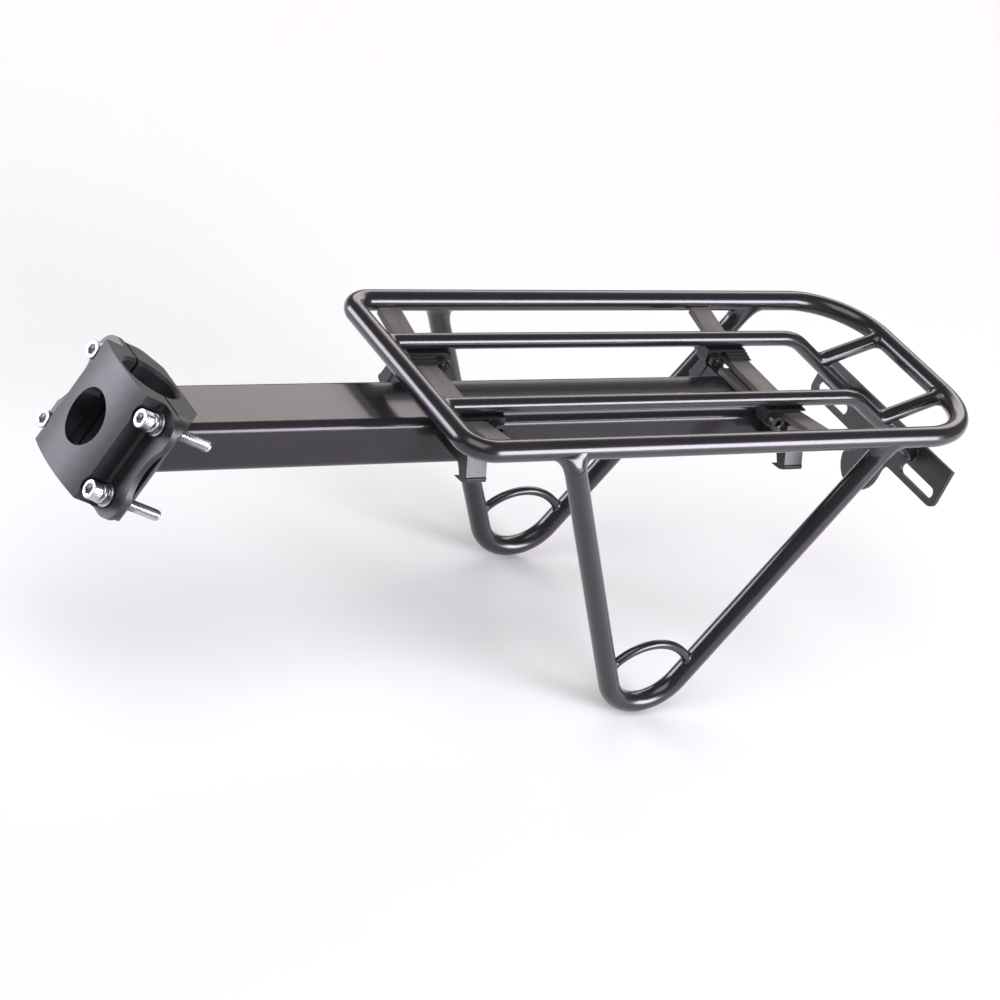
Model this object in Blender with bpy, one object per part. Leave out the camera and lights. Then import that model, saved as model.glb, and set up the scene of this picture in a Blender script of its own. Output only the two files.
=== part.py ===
"""Seatpost-mounted rear rack for a bicycle, as an assembly of separate parts.

Frame: the origin is the centre of the seatpost bore, +X points to the rear of the bicycle,
+Y to its right-hand side and +Z up.  All driving sizes are given in millimetres times MM.
"""
import math

import bmesh
import bpy
from mathutils import Vector

MM = 0.001
GAP = 0.3 * MM            # clearance between neighbouring parts

# Platform: outer loop of tube with two lighter rails inside it.
OUTER_R = 6.0 * MM        # outer loop and side struts
RAIL_R = 4.5 * MM         # inner rails and tail risers
PLATFORM_Z = 29.7 * MM    # height of the tubes' centrelines
FRONT_X = 162.3 * MM      # centreline of the front tube
TAIL_X = 513.3 * MM       # centreline of the tail bar
HALF_WIDTH = 75.5 * MM    # centreline of each side tube
RAIL_Y = 32.2 * MM        # centreline of each inner rail
FRONT_CORNER_R = 14.0 * MM
TAIL_CORNER_R = 43.7 * MM

# Dipped tails of the inner rails, and the risers that tie them to the tail bar.
DIP_START_X = 444.9 * MM  # where the level and the sloping centrelines would meet
DIP_ANGLE = math.radians(33.6)
DIP_BEND_R = 30.0 * MM
RISER_X = 469.5 * MM      # where a riser leaves its dipped rail

# Light bracket: a sheet plate whose foot leans forward.
BRACKET_X = 509.2 * MM    # top edge of its front face
BRACKET_Z = -2.7 * MM
BRACKET_TILT = math.radians(9.5)
BRACKET_HALF = 66.0 * MM
BRACKET_HEIGHT = 26.5 * MM
BRACKET_T = 2.5 * MM
BRACKET_CORNER_R = 5.0 * MM
TONGUE_HALF = 16.5 * MM
TONGUE_DEPTH = 53.5 * MM
SLOT_Y = 45.5 * MM
SLOT_HALF = 16.0 * MM
SLOT_R = 3.5 * MM
SLOT_DROP = 19.4 * MM

# Beam: rounded box tube from the clamp to the rear cross-member.
BEAM_HALF_W = 21.4 * MM
BEAM_TOP = 13.2 * MM
BEAM_BOTTOM = -15.3 * MM
BEAM_WALL = 2.5 * MM
BEAM_EDGE_R = 5.0 * MM
BEAM_END = 403.0 * MM
PLUG_T = 2.5 * MM
PLUG_SPIGOT = 10.0 * MM

# Cross-members: a strip bent up at both ends, with a foot that rests on the beam.
STRIP_W = 14.0 * MM
STRIP_T = 4.0 * MM
STRIP_TOP = 21.85 * MM
STRIP_END_RISE = 7.1 * MM
STRIP_END_Y = HALF_WIDTH - OUTER_R - GAP
CROSS_X = {"front": 179.6 * MM, "rear": 392.7 * MM}  # front edge of each strip
FOOT_LIP = 5.2 * MM       # how far the foot reaches in front of the strip
FOOT_LIP_TOP = 16.8 * MM
GROOVE_DEPTH = 3.0 * MM
FOOT_HALF = 21.0 * MM

# Jaws: flared lugs under the strips, each with an arm that bears on the beam's side.
JAW_START = 1.2 * MM      # from the strip's front edge
JAW_W = 13.0 * MM
JAW_TOP_Y = 42.3 * MM     # outer face, at the top and at the bottom
JAW_TOP = 18.1 * MM
JAW_FOOT_Y = 51.5 * MM
JAW_FOOT = -3.2 * MM
JAW_WALL = 6.5 * MM
JAW_LIP = 0.9 * MM
JAW_LIP_H = 2.2 * MM
JAW_NOSE_Y = 40.5 * MM
JAW_NOSE = -8.4 * MM
JAW_ARM_H = 8.0 * MM
JAW_ARM_INSET = 1.0 * MM  # the arm is narrower than the lug at each end

# Saddles under the inner rails, with a bolt across each.
SADDLE_TOP = PLATFORM_Z - RAIL_R - GAP
SADDLE_BOTTOM = STRIP_TOP + GAP
SADDLE_Y0 = 27.2 * MM
SADDLE_Y1 = 37.2 * MM
BOSS_R = 5.5 * MM
BOSS_Z = 19.3 * MM
BOSS_OFFSET = 6.2 * MM    # from the strip's edge to the bolt's axis
STEP_RUN = 2.5 * MM
STEP_COUNT = 4
SADDLE_BOLT_R = 2.5 * MM
SADDLE_HEAD_R = 4.25 * MM
SADDLE_HEAD_H = 5.0 * MM
SADDLE_NUT_FLAT = 4.0 * MM
SADDLE_NUT_H = 4.0 * MM
SADDLE_BOLT_END = 1.5 * MM  # how far the bolt passes its nut
SADDLE_PAD_H = 1.0 * MM

# Side struts: two legs and a bend in an upright plane, with a hoop above the bend.
STRUT_FRONT_X = 220.9 * MM
STRUT_REAR_X = 442.6 * MM
STRUT_FRONT_RUN = 0.514   # how far each leg leans in, per unit of drop
STRUT_REAR_RUN = 0.569
STRUT_BEND_R = 27.5 * MM
STRUT_Y = 77.5 * MM       # the plane's place at STRUT_MIDDLE_X
STRUT_MIDDLE_X = 330.0 * MM
STRUT_TOE = -0.0186       # how far the plane moves out, per unit to the rear
STRUT_SHOULDER_Y = HALF_WIDTH + 1.5 * MM  # outside this a strut stops under the loop
STRUT_SHOULDER_Z = PLATFORM_Z - 4.7 * MM
HOOP_R = 2.65 * MM
HOOP_X = 327.2 * MM
HOOP_TOP = -104.5 * MM
HOOP_ARC_R = 33.6 * MM
HOOP_HALF = 27.5 * MM

# Seatpost clamp, in its own axes: X to the rear, Z up along the seatpost.
POST_TILT = math.radians(23.72)
BORE_R = 15.9 * MM
BORE_CHAMFER = 1.6 * MM
CLAMP_TOP = 32.3 * MM
CLAMP_BOTTOM = -32.0 * MM
CAP_HALF = 46.0 * MM      # half-widths of the two flanges
BODY_HALF = 43.0 * MM
FLANGE_CORNER_R = 11.0 * MM
SPLIT_HALF = 0.75 * MM
BODY_EDGE = (3.0 * MM, 42.0 * MM)   # plan corners of the body: distance behind the split, half-width
BODY_NECK = (17.1 * MM, 25.5 * MM)
BODY_REAR = 20.0 * MM
CAP_SEAT = 4.3 * MM       # front face of the cap's flange, from the split plane
CAP_EDGE = 16.2 * MM      # front edges of the cap's middle
CAP_CROWN = 19.6 * MM
CAP_MIDDLE_HALF = 26.7 * MM
CAP_FILLET = 1.5 * MM     # from the cap's flange to its middle
CAP_HOLE_R = 15.3 * MM
WAIST_R = 30.0 * MM       # hollow in the cap's edge between its bolts
WAIST_DEPTH = 4.5 * MM
FAR = 80.0 * MM           # reach of cutters, clear of every part
BOLT_Y = 32.0 * MM
BOLT_Z = 22.3 * MM
BOLT_R = 3.0 * MM
BOLT_HOLE_R = BOLT_R + GAP
BOLT_HEAD_R = 5.0 * MM
BOLT_HEAD_H = 6.0 * MM
HEAD_BEVEL = 0.5 * MM
BOLT_LENGTH = 40.0 * MM
HEX_R = 2.9 * MM
HEX_DEPTH = 3.2 * MM
WASHER_R = 6.2 * MM
WASHER_T = 1.3 * MM
COLLAR_R = 5.2 * MM

SIDES = {"left": -1, "right": 1}
TUBE_SIDES = 16
ROUND_SIDES = 20
BORE_SIDES = 40


def clear_scene():
    for obj in list(bpy.data.objects):
        bpy.data.objects.remove(obj, do_unlink=True)


def finish_material(name, colour, roughness, metallic):
    material = bpy.data.materials.new(name)
    material.use_nodes = True
    shader = material.node_tree.nodes["Principled BSDF"]
    shader.inputs["Base Color"].default_value = (*colour, 1.0)
    shader.inputs["Roughness"].default_value = roughness
    shader.inputs["Metallic"].default_value = metallic
    return material


def make_object(name, bm, material, parent=None, smooth=35.0):
    """Turn a bmesh into an object; smooth is the angle in degrees up to which faces blend."""
    bmesh.ops.recalc_face_normals(bm, faces=bm.faces)
    mesh = bpy.data.meshes.new(name)
    bm.to_mesh(mesh)
    bm.free()
    mesh.shade_smooth()
    mesh.set_sharp_from_angle(angle=math.radians(smooth))
    mesh.materials.append(material)
    obj = bpy.data.objects.new(name, mesh)
    bpy.context.scene.collection.objects.link(obj)
    obj.parent = parent
    return obj


def make_guide(obj):
    obj.hide_render = True
    obj.display_type = "WIRE"
    return obj


def boolean(target, other, operation):
    modifier = target.modifiers.new(other.name, "BOOLEAN")
    modifier.operation = operation
    modifier.solver = "EXACT"
    modifier.object = make_guide(other)


def make_frame(name, location, tilt):
    """An empty whose Z axis leans to the rear by tilt."""
    frame = bpy.data.objects.new(name, None)
    frame.location = location
    frame.rotation_euler = (0.0, tilt, 0.0)
    bpy.context.scene.collection.objects.link(frame)
    return frame


def prism(outline, axis, low, high):
    """Extrude an outline along an axis; its points are in the other two axes, in XYZ order."""
    index = "XYZ".index(axis)
    bm = bmesh.new()
    loops = []
    for level in (low, high):
        loop = []
        for point in outline:
            place = list(point)
            place.insert(index, level)
            loop.append(bm.verts.new(place))
        loops.append(loop)
        bm.faces.new(loop)
    count = len(outline)
    for i in range(count):
        j = (i + 1) % count
        bm.faces.new((loops[0][i], loops[0][j], loops[1][j], loops[1][i]))
    return bm


def arc(centre, radius, start, end, steps):
    """Points on a circle from start to end, in degrees."""
    points = []
    for i in range(steps + 1):
        angle = math.radians(start + (end - start) * i / steps)
        points.append((centre[0] + radius * math.cos(angle), centre[1] + radius * math.sin(angle)))
    return points


def rounded_box(half_w, low, high, radius, steps=4):
    """A rectangle with round corners, centred on the first axis."""
    points = arc((half_w - radius, high - radius), radius, 90, 0, steps)
    points += arc((half_w - radius, low + radius), radius, 0, -90, steps)
    points += arc((-half_w + radius, low + radius), radius, -90, -180, steps)
    points += arc((-half_w + radius, high - radius), radius, 180, 90, steps)
    return points


def lathe(profile, sides, axis="X"):
    """Turn a profile of (distance along the axis, radius) points into a closed solid.

    A profile that starts and ends on the axis is a solid; one that doesn't is a ring.
    """
    bm = bmesh.new()
    rings = []
    for along, radius in profile:
        if radius == 0.0:
            rings.append([bm.verts.new((along, 0.0, 0.0))])
            continue
        ring = []
        for i in range(sides):
            angle = 2 * math.pi * i / sides
            ring.append(bm.verts.new((along, radius * math.cos(angle), radius * math.sin(angle))))
        rings.append(ring)
    pairs = list(zip(rings, rings[1:]))
    if len(rings[0]) > 1:
        pairs.append((rings[-1], rings[0]))
    for first, second in pairs:
        for i in range(sides):
            j = (i + 1) % sides
            corners = [first[i % len(first)], second[i % len(second)],
                       second[j % len(second)], first[j % len(first)]]
            bm.faces.new(list(dict.fromkeys(corners)))
    if axis == "Y":
        for vert in bm.verts:
            vert.co = Vector((vert.co.z, vert.co.x, vert.co.y))
    if axis == "Z":
        for vert in bm.verts:
            vert.co = Vector((vert.co.y, vert.co.z, vert.co.x))
    return bm


def rod(radius, half_length, axis):
    """A round bar centred on its origin."""
    ends = (-half_length, half_length)
    return lathe([(ends[0], 0.0), (ends[0], radius), (ends[1], radius), (ends[1], 0.0)],
                 ROUND_SIDES, axis)


def hexagon(corner):
    return [(math.cos(math.radians(60 * i)) * corner, math.sin(math.radians(60 * i)) * corner)
            for i in range(6)]


def fillet_path(corners, radii, step=10.0):
    """A path through the corners, each rounded to its radius; step is in degrees."""
    path = []
    count = len(corners)
    for i, corner in enumerate(corners):
        if radii[i] == 0.0:
            path.append(corner.copy())
            continue
        back = (corners[i - 1] - corner).normalized()
        ahead = (corners[(i + 1) % count] - corner).normalized()
        half = back.angle(ahead) / 2
        centre = corner + (back + ahead).normalized() * radii[i] / math.sin(half)
        start = corner + back * radii[i] / math.tan(half) - centre
        turn = math.pi - 2 * half
        steps = max(2, math.ceil(math.degrees(turn) / step))
        for k in range(steps + 1):
            angle = turn * k / steps
            path.append(centre + start * math.cos(angle) - back * radii[i] * math.sin(angle))
    return path


def tube(path, normal, radius, sides=TUBE_SIDES, closed=False):
    """Sweep a circle along a plane path; normal is the plane's."""
    bm = bmesh.new()
    rings = []
    count = len(path)
    for i, point in enumerate(path):
        behind = path[i - 1] if (i > 0 or closed) else point
        ahead = path[(i + 1) % count] if (i < count - 1 or closed) else point
        across = (ahead - behind).normalized().cross(normal)
        ring = []
        for k in range(sides):
            angle = 2 * math.pi * (k + 0.5) / sides
            spoke = math.cos(angle) * normal + math.sin(angle) * across
            ring.append(bm.verts.new(point + radius * spoke))
        rings.append(ring)
    pairs = list(zip(rings, rings[1:]))
    if closed:
        pairs.append((rings[-1], rings[0]))
    else:
        bm.faces.new(rings[0])
        bm.faces.new(rings[-1])
    for first, second in pairs:
        for k in range(sides):
            j = (k + 1) % sides
            bm.faces.new((first[k], first[j], second[j], second[k]))
    return bm


# ---------------------------------------------------------------- platform tubes

def outer_loop_path():
    corners = [
        Vector((FRONT_X, -HALF_WIDTH, PLATFORM_Z)),
        Vector((TAIL_X, -HALF_WIDTH, PLATFORM_Z)),
        Vector((TAIL_X, HALF_WIDTH, PLATFORM_Z)),
        Vector((FRONT_X, HALF_WIDTH, PLATFORM_Z)),
    ]
    radii = [FRONT_CORNER_R, TAIL_CORNER_R, TAIL_CORNER_R, FRONT_CORNER_R]
    return fillet_path(corners, radii)


def dip_point(x):
    return PLATFORM_Z - (x - DIP_START_X) * math.tan(DIP_ANGLE)


def rail_path(y):
    end_x = BRACKET_X + 2 * BRACKET_T
    corners = [
        Vector((FRONT_X, y, PLATFORM_Z)),
        Vector((DIP_START_X, y, PLATFORM_Z)),
        Vector((end_x, y, dip_point(end_x))),
    ]
    return fillet_path(corners, [0.0, DIP_BEND_R, 0.0])


def build_platform(paint):
    """Build the platform's tubes and return the guide that clears room for the outer loop."""
    normal = Vector((0, 0, 1))
    make_object("outer_loop", tube(outer_loop_path(), normal, OUTER_R, closed=True), paint)
    room = tube(outer_loop_path(), normal, OUTER_R + GAP, closed=True)
    loop_room = make_object("loop_room", room, paint)
    side_normal = Vector((0, 1, 0))
    for side, sign in SIDES.items():
        y = sign * RAIL_Y
        rail = make_object(f"inner_rail_{side}", tube(rail_path(y), side_normal, RAIL_R), paint)
        boolean(rail, loop_room, "DIFFERENCE")
        boolean(rail, bracket_room(side, paint), "DIFFERENCE")
        room = tube(rail_path(y), side_normal, RAIL_R + GAP)
        rail_room = make_object(f"rail_room_{side}", room, paint)
        ends = [Vector((RISER_X, y, dip_point(RISER_X))), Vector((TAIL_X, y, PLATFORM_Z))]
        riser = make_object(f"tail_riser_{side}", tube(ends, side_normal, RAIL_R), paint)
        boolean(riser, loop_room, "DIFFERENCE")
        boolean(riser, rail_room, "DIFFERENCE")
    return loop_room


# ---------------------------------------------------------------- light bracket

def bracket_room(side, paint):
    """Guide that ends a rail at the bracket's front face."""
    frame = make_frame(f"bracket_room_frame_{side}", (BRACKET_X, 0, BRACKET_Z), BRACKET_TILT)
    outline = [(-GAP, -FAR), (FAR, -FAR), (FAR, FAR), (-GAP, FAR)]
    return make_object(f"bracket_room_{side}", prism(outline, "Z", -FAR, FAR), paint, frame)


def build_light_bracket(paint):
    frame = make_frame("bracket_frame", (BRACKET_X, 0, BRACKET_Z), BRACKET_TILT)
    foot = -BRACKET_HEIGHT
    corner = BRACKET_CORNER_R
    tongue_z = -(TONGUE_DEPTH - TONGUE_HALF)
    left = [(-BRACKET_HALF, 0.0)]
    left += arc((-BRACKET_HALF + corner, foot + corner), corner, 180, 270, 4)
    left += arc((-TONGUE_HALF - corner, foot - corner), corner, 90, 0, 4)
    outline = left + arc((0.0, tongue_z), TONGUE_HALF, 180, 360, 12)
    outline += [(-y, z) for y, z in reversed(left)]
    plate = make_object("light_bracket", prism(outline, "X", 0.0, BRACKET_T), paint, frame)
    for side, sign in SIDES.items():
        straight = SLOT_HALF - SLOT_R
        slot = arc((sign * SLOT_Y + straight, -SLOT_DROP), SLOT_R, 90, -90, 8)
        slot += arc((sign * SLOT_Y - straight, -SLOT_DROP), SLOT_R, 270, 90, 8)
        cutter = make_object(f"bracket_slot_{side}", prism(slot, "X", -FAR, FAR), paint, frame)
        boolean(plate, cutter, "DIFFERENCE")


# ---------------------------------------------------------------- cross-members and their fittings

def build_cross_member(place, paint):
    x = CROSS_X[place]
    end_top = STRIP_TOP + STRIP_END_RISE
    top = [(-STRIP_END_Y, end_top), (-RAIL_Y, STRIP_TOP), (RAIL_Y, STRIP_TOP), (STRIP_END_Y, end_top)]
    outline = top + [(y, z - STRIP_T) for y, z in reversed(top)]
    strip = make_object(f"{place}_cross_member", prism(outline, "X", x, x + STRIP_W), paint)
    foot_bottom = BEAM_TOP + GAP
    foot_top = STRIP_TOP - STRIP_T / 2
    foot = [
        (x - FOOT_LIP, foot_bottom), (x + STRIP_W, foot_bottom), (x + STRIP_W, foot_top),
        (x + GROOVE_DEPTH, foot_top), (x + GROOVE_DEPTH, FOOT_LIP_TOP), (x - FOOT_LIP, FOOT_LIP_TOP),
    ]
    foot_part = make_object(f"{place}_foot", prism(foot, "Y", -FOOT_HALF, FOOT_HALF), paint)
    boolean(strip, foot_part, "UNION")


def build_jaw(place, side, paint):
    """A lug whose outer face flares down to a lip and a nose, with an arm to the beam."""
    start = CROSS_X[place] + JAW_START
    sign = SIDES[side]
    lip_foot = JAW_FOOT - JAW_LIP_H
    half = [
        (JAW_TOP_Y, JAW_TOP), (JAW_FOOT_Y, JAW_FOOT), (JAW_FOOT_Y + JAW_LIP, JAW_FOOT),
        (JAW_FOOT_Y + JAW_LIP, lip_foot), (JAW_FOOT_Y - JAW_WALL / 2, JAW_NOSE + JAW_LIP),
        (JAW_NOSE_Y, JAW_NOSE), (JAW_FOOT_Y - JAW_WALL, lip_foot),
        (JAW_FOOT_Y - 1.5 * JAW_WALL, JAW_FOOT + JAW_LIP_H), (JAW_TOP_Y - JAW_WALL, JAW_TOP),
    ]
    outline = [(sign * y, z) for y, z in half]
    name = f"{place}_{side}"
    lug = make_object(f"beam_jaw_{name}", prism(outline, "X", start, start + JAW_W), paint)
    inner = sign * (BEAM_HALF_W + GAP)
    outer = sign * (JAW_FOOT_Y - JAW_WALL)
    level = JAW_FOOT + JAW_LIP_H
    arm = [(inner, level), (outer, level), (outer, level + JAW_ARM_H), (inner, level + JAW_ARM_H)]
    span = prism(arm, "X", start + JAW_ARM_INSET, start + JAW_W - JAW_ARM_INSET)
    boolean(lug, make_object(f"jaw_arm_{name}", span, paint), "UNION")


def saddle_frame(place):
    """The strip edge where the saddle's boss sits, and the way from it to the boss."""
    if place == "front":
        return CROSS_X[place] + STRIP_W, 1
    return CROSS_X[place], -1


def build_saddle(place, side, moulded, steel):
    """A stepped pad on the strip, with a boss beside the strip that a bolt passes through."""
    edge, way = saddle_frame(place)
    sign = SIDES[side]
    bolt_x = edge + way * BOSS_OFFSET
    pad_start = edge - way * (STRIP_W + SADDLE_PAD_H)
    pad_foot = SADDLE_TOP - SADDLE_PAD_H
    outline = [(pad_start, SADDLE_TOP), (pad_start, pad_foot), (bolt_x - way * BOSS_R, pad_foot)]
    outline += [(bolt_x + way * (x - bolt_x), z) for x, z in arc((bolt_x, BOSS_Z), BOSS_R, 180, 360, 10)]
    outline += [(bolt_x + way * BOSS_R, SADDLE_TOP)]
    low, high = sorted((sign * SADDLE_Y0, sign * SADDLE_Y1))
    name = f"{place}_{side}"
    saddle = make_object(f"rail_saddle_{name}", prism(outline, "Y", low, high), moulded)
    rise = (SADDLE_TOP - SADDLE_BOTTOM) / STEP_COUNT
    stairs = [(sign * RAIL_Y, SADDLE_BOTTOM), (sign * RAIL_Y, SADDLE_TOP)]
    for i in range(STEP_COUNT):
        y = sign * (SADDLE_Y0 - i * STEP_RUN)
        stairs += [(y, SADDLE_TOP - i * rise), (y, SADDLE_TOP - (i + 1) * rise)]
    x_low, x_high = sorted((pad_start, edge + way * 2 * GAP))
    pad = make_object(f"saddle_pad_{name}", prism(stairs, "X", x_low, x_high), moulded)
    boolean(saddle, pad, "UNION")
    cutter = make_object(f"saddle_hole_{name}", rod(SADDLE_BOLT_R + GAP, SADDLE_Y0, "Y"), moulded)
    cutter.location = (bolt_x, sign * (SADDLE_Y0 + SADDLE_Y1) / 2, BOSS_Z)
    boolean(saddle, cutter, "DIFFERENCE")
    build_saddle_bolt(name, sign, bolt_x, steel)


def build_saddle_bolt(name, sign, bolt_x, steel):
    """Bolt with its head outside the boss and a hexagon nut inside it, along Y."""
    head = SADDLE_Y1 + GAP
    nut_out = SADDLE_Y0 - GAP
    shank_end = nut_out - SADDLE_NUT_H - SADDLE_BOLT_END
    profile = [(shank_end, 0.0), (shank_end, SADDLE_BOLT_R), (head, SADDLE_BOLT_R), (head, SADDLE_HEAD_R),
               (head + SADDLE_HEAD_H, SADDLE_HEAD_R), (head + SADDLE_HEAD_H, 0.0)]
    turned = lathe([(sign * along, radius) for along, radius in profile], ROUND_SIDES, "Y")
    bolt = make_object(f"saddle_bolt_{name}", turned, steel)
    bolt.location = (bolt_x, 0, BOSS_Z)
    ring = hexagon(SADDLE_NUT_FLAT / math.cos(math.pi / 6))
    low, high = sorted((sign * nut_out, sign * (nut_out - SADDLE_NUT_H)))
    nut = make_object(f"saddle_nut_{name}", prism(ring, "Y", low, high), steel)
    nut.location = (bolt_x, 0, BOSS_Z)
    cutter = make_object(f"nut_bore_{name}", rod(SADDLE_BOLT_R + GAP, SADDLE_NUT_H, "Y"), steel)
    cutter.location = (bolt_x, (low + high) / 2, BOSS_Z)
    boolean(nut, cutter, "DIFFERENCE")


# ---------------------------------------------------------------- side struts

def strut_point(sign, x, z):
    """A point of the strut's plane, on the side that sign says."""
    return Vector((x, sign * (STRUT_Y + STRUT_TOE * (x - STRUT_MIDDLE_X)), z))


def strut_path(sign):
    drop = (STRUT_REAR_X - STRUT_FRONT_X) / (STRUT_FRONT_RUN + STRUT_REAR_RUN)
    corners = [
        strut_point(sign, STRUT_FRONT_X, PLATFORM_Z),
        strut_point(sign, STRUT_FRONT_X + drop * STRUT_FRONT_RUN, PLATFORM_Z - drop),
        strut_point(sign, STRUT_REAR_X, PLATFORM_Z),
    ]
    return fillet_path(corners, [0.0, STRUT_BEND_R, 0.0])


def hoop_path(sign):
    reach = math.degrees(math.asin(HOOP_HALF / HOOP_ARC_R))
    arch = arc((HOOP_X, HOOP_TOP - HOOP_ARC_R), HOOP_ARC_R, 90 + reach, 90 - reach, 14)
    return [strut_point(sign, x, z) for x, z in arch]


def build_strut(side, loop_room, paint):
    sign = SIDES[side]
    normal = Vector((-sign * STRUT_TOE, 1.0, 0.0)).normalized()
    strut = make_object(f"side_strut_{side}", tube(strut_path(sign), normal, OUTER_R), paint)
    boolean(strut, loop_room, "DIFFERENCE")
    low, high = sorted((sign * STRUT_SHOULDER_Y, sign * (STRUT_SHOULDER_Y + FAR)))
    outline = [(low, STRUT_SHOULDER_Z), (high, STRUT_SHOULDER_Z), (high, FAR), (low, FAR)]
    shoulder = make_object(f"strut_shoulder_{side}", prism(outline, "X", 0.0, TAIL_X), paint)
    boolean(strut, shoulder, "DIFFERENCE")
    room = tube(strut_path(sign), normal, OUTER_R + GAP)
    strut_room = make_object(f"strut_room_{side}", room, paint)
    hoop = make_object(f"strut_hoop_{side}", tube(hoop_path(sign), normal, HOOP_R, 12), paint)
    boolean(hoop, strut_room, "DIFFERENCE")


# ---------------------------------------------------------------- beam

def build_beam(clamp, paint, moulded):
    outline = rounded_box(BEAM_HALF_W, BEAM_BOTTOM, BEAM_TOP, BEAM_EDGE_R)
    beam = make_object("beam_tube", prism(outline, "X", 0.0, BEAM_END), paint)
    inner = rounded_box(BEAM_HALF_W - BEAM_WALL, BEAM_BOTTOM + BEAM_WALL, BEAM_TOP - BEAM_WALL,
                        BEAM_EDGE_R - BEAM_WALL)
    hollow = make_object("beam_hollow", prism(inner, "X", -FAR, BEAM_END + FAR), paint)
    boolean(beam, hollow, "DIFFERENCE")
    room = [(-FAR, -FAR), (BODY_REAR + GAP, -FAR), (BODY_REAR + GAP, FAR), (-FAR, FAR)]
    clamp_room = make_object("clamp_room", prism(room, "Z", -FAR, FAR), paint, clamp)
    boolean(beam, clamp_room, "DIFFERENCE")
    plug_x = BEAM_END + GAP
    plug = make_object("beam_end_plug", prism(outline, "X", plug_x, plug_x + PLUG_T), moulded)
    slim = BEAM_WALL + GAP
    core = rounded_box(BEAM_HALF_W - slim, BEAM_BOTTOM + slim, BEAM_TOP - slim, BEAM_EDGE_R - BEAM_WALL)
    core_end = plug_x + PLUG_T / 2
    spigot = make_object("plug_spigot", prism(core, "X", BEAM_END - PLUG_SPIGOT, core_end), moulded)
    boolean(plug, spigot, "UNION")


# ---------------------------------------------------------------- seatpost clamp

def bolt_places():
    for level, z in (("upper", BOLT_Z), ("lower", -BOLT_Z)):
        for side, sign in SIDES.items():
            yield f"{level}_{side}", sign * BOLT_Y, z


def add_clamp_cuts(part, label, front_view, clamp, paint):
    """Trim a half of the clamp to its front view, and cut the bore and the four bolt holes."""
    trim = make_object(f"{label}_front_view", prism(front_view, "X", -FAR, FAR), paint, clamp)
    boolean(part, trim, "INTERSECT")
    flare = BORE_R + BORE_CHAMFER
    profile = [
        (CLAMP_BOTTOM - BORE_R, 0.0), (CLAMP_BOTTOM - BORE_R, flare + BORE_R),
        (CLAMP_BOTTOM + BORE_CHAMFER, BORE_R), (CLAMP_TOP - BORE_CHAMFER, BORE_R),
        (CLAMP_TOP + BORE_R, flare + BORE_R), (CLAMP_TOP + BORE_R, 0.0),
    ]
    bore = make_object(f"{label}_bore", lathe(profile, BORE_SIDES, "Z"), paint, clamp)
    boolean(part, bore, "DIFFERENCE")
    for name, y, z in bolt_places():
        cutter = make_object(f"{label}_hole_{name}", rod(BOLT_HOLE_R, FAR, "X"), paint, clamp)
        cutter.location = (0, y, z)
        boolean(part, cutter, "DIFFERENCE")


def mirrored(half):
    """Close an outline given from its +Y end to its middle line."""
    return half + [(x, -y) for x, y in reversed(half)]


def flange_view(half_w, waist_depth):
    """The clamp's front view: a rectangle with round corners, hollow at the sides."""
    middle = (CLAMP_TOP + CLAMP_BOTTOM) / 2
    high = (CLAMP_TOP - CLAMP_BOTTOM) / 2
    corners = rounded_box(half_w, -high, high, FLANGE_CORNER_R, 6)
    if waist_depth > 0.0:
        reach = math.degrees(math.acos(1 - waist_depth / WAIST_R))
        right = arc((half_w - waist_depth + WAIST_R, 0.0), WAIST_R, 180 - reach, 180 + reach, 10)
        left = [(-y, -z) for y, z in right]
        quarter = len(corners) // 4
        corners = (corners[:quarter] + right + corners[quarter:3 * quarter] + left
                   + corners[3 * quarter:])
    return [(y, middle + z) for y, z in corners]


def build_clamp_body(clamp, paint):
    """The rear half, which narrows from its flanges to the beam's width."""
    half = [(SPLIT_HALF, BODY_HALF), BODY_EDGE, BODY_NECK, (BODY_REAR, BEAM_HALF_W)]
    solid = prism(mirrored(half), "Z", CLAMP_BOTTOM, CLAMP_TOP)
    body = make_object("seatpost_clamp_body", solid, paint, clamp)
    add_clamp_cuts(body, "body", flange_view(BODY_HALF, 0.0), clamp, paint)


def build_clamp_cap(clamp, paint):
    """The front half: a crowned middle with a round window, and a flange on each side."""
    foot = CAP_MIDDLE_HALF + CAP_FILLET
    half = [(-SPLIT_HALF, CAP_HALF), (-CAP_SEAT, CAP_HALF), (-CAP_SEAT, foot),
            (-CAP_SEAT - CAP_FILLET, CAP_MIDDLE_HALF)]
    sag = CAP_CROWN - CAP_EDGE
    crown_r = (CAP_MIDDLE_HALF ** 2 + sag ** 2) / (2 * sag)
    reach = math.degrees(math.asin(CAP_MIDDLE_HALF / crown_r))
    half += arc((crown_r - CAP_CROWN, 0.0), crown_r, 180 - reach, 180, 6)
    solid = prism(mirrored(half), "Z", CLAMP_BOTTOM, CLAMP_TOP)
    cap = make_object("seatpost_clamp_cap", solid, paint, clamp)
    add_clamp_cuts(cap, "cap", flange_view(CAP_HALF, WAIST_DEPTH), clamp, paint)
    window = lathe([(-FAR, 0.0), (-FAR, CAP_HOLE_R), (-CAP_SEAT / 2, CAP_HOLE_R), (-CAP_SEAT / 2, 0.0)],
                   BORE_SIDES, "X")
    boolean(cap, make_object("cap_window", window, paint, clamp), "DIFFERENCE")
    seat_r = WASHER_R + 2 * GAP
    for name, y, z in bolt_places():
        seat = lathe([(-FAR, 0.0), (-FAR, seat_r), (-CAP_SEAT, seat_r), (-CAP_SEAT, 0.0)],
                     ROUND_SIDES, "X")
        cutter = make_object(f"cap_seat_{name}", seat, paint, clamp)
        cutter.location = (0, y, z)
        boolean(cap, cutter, "DIFFERENCE")


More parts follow.
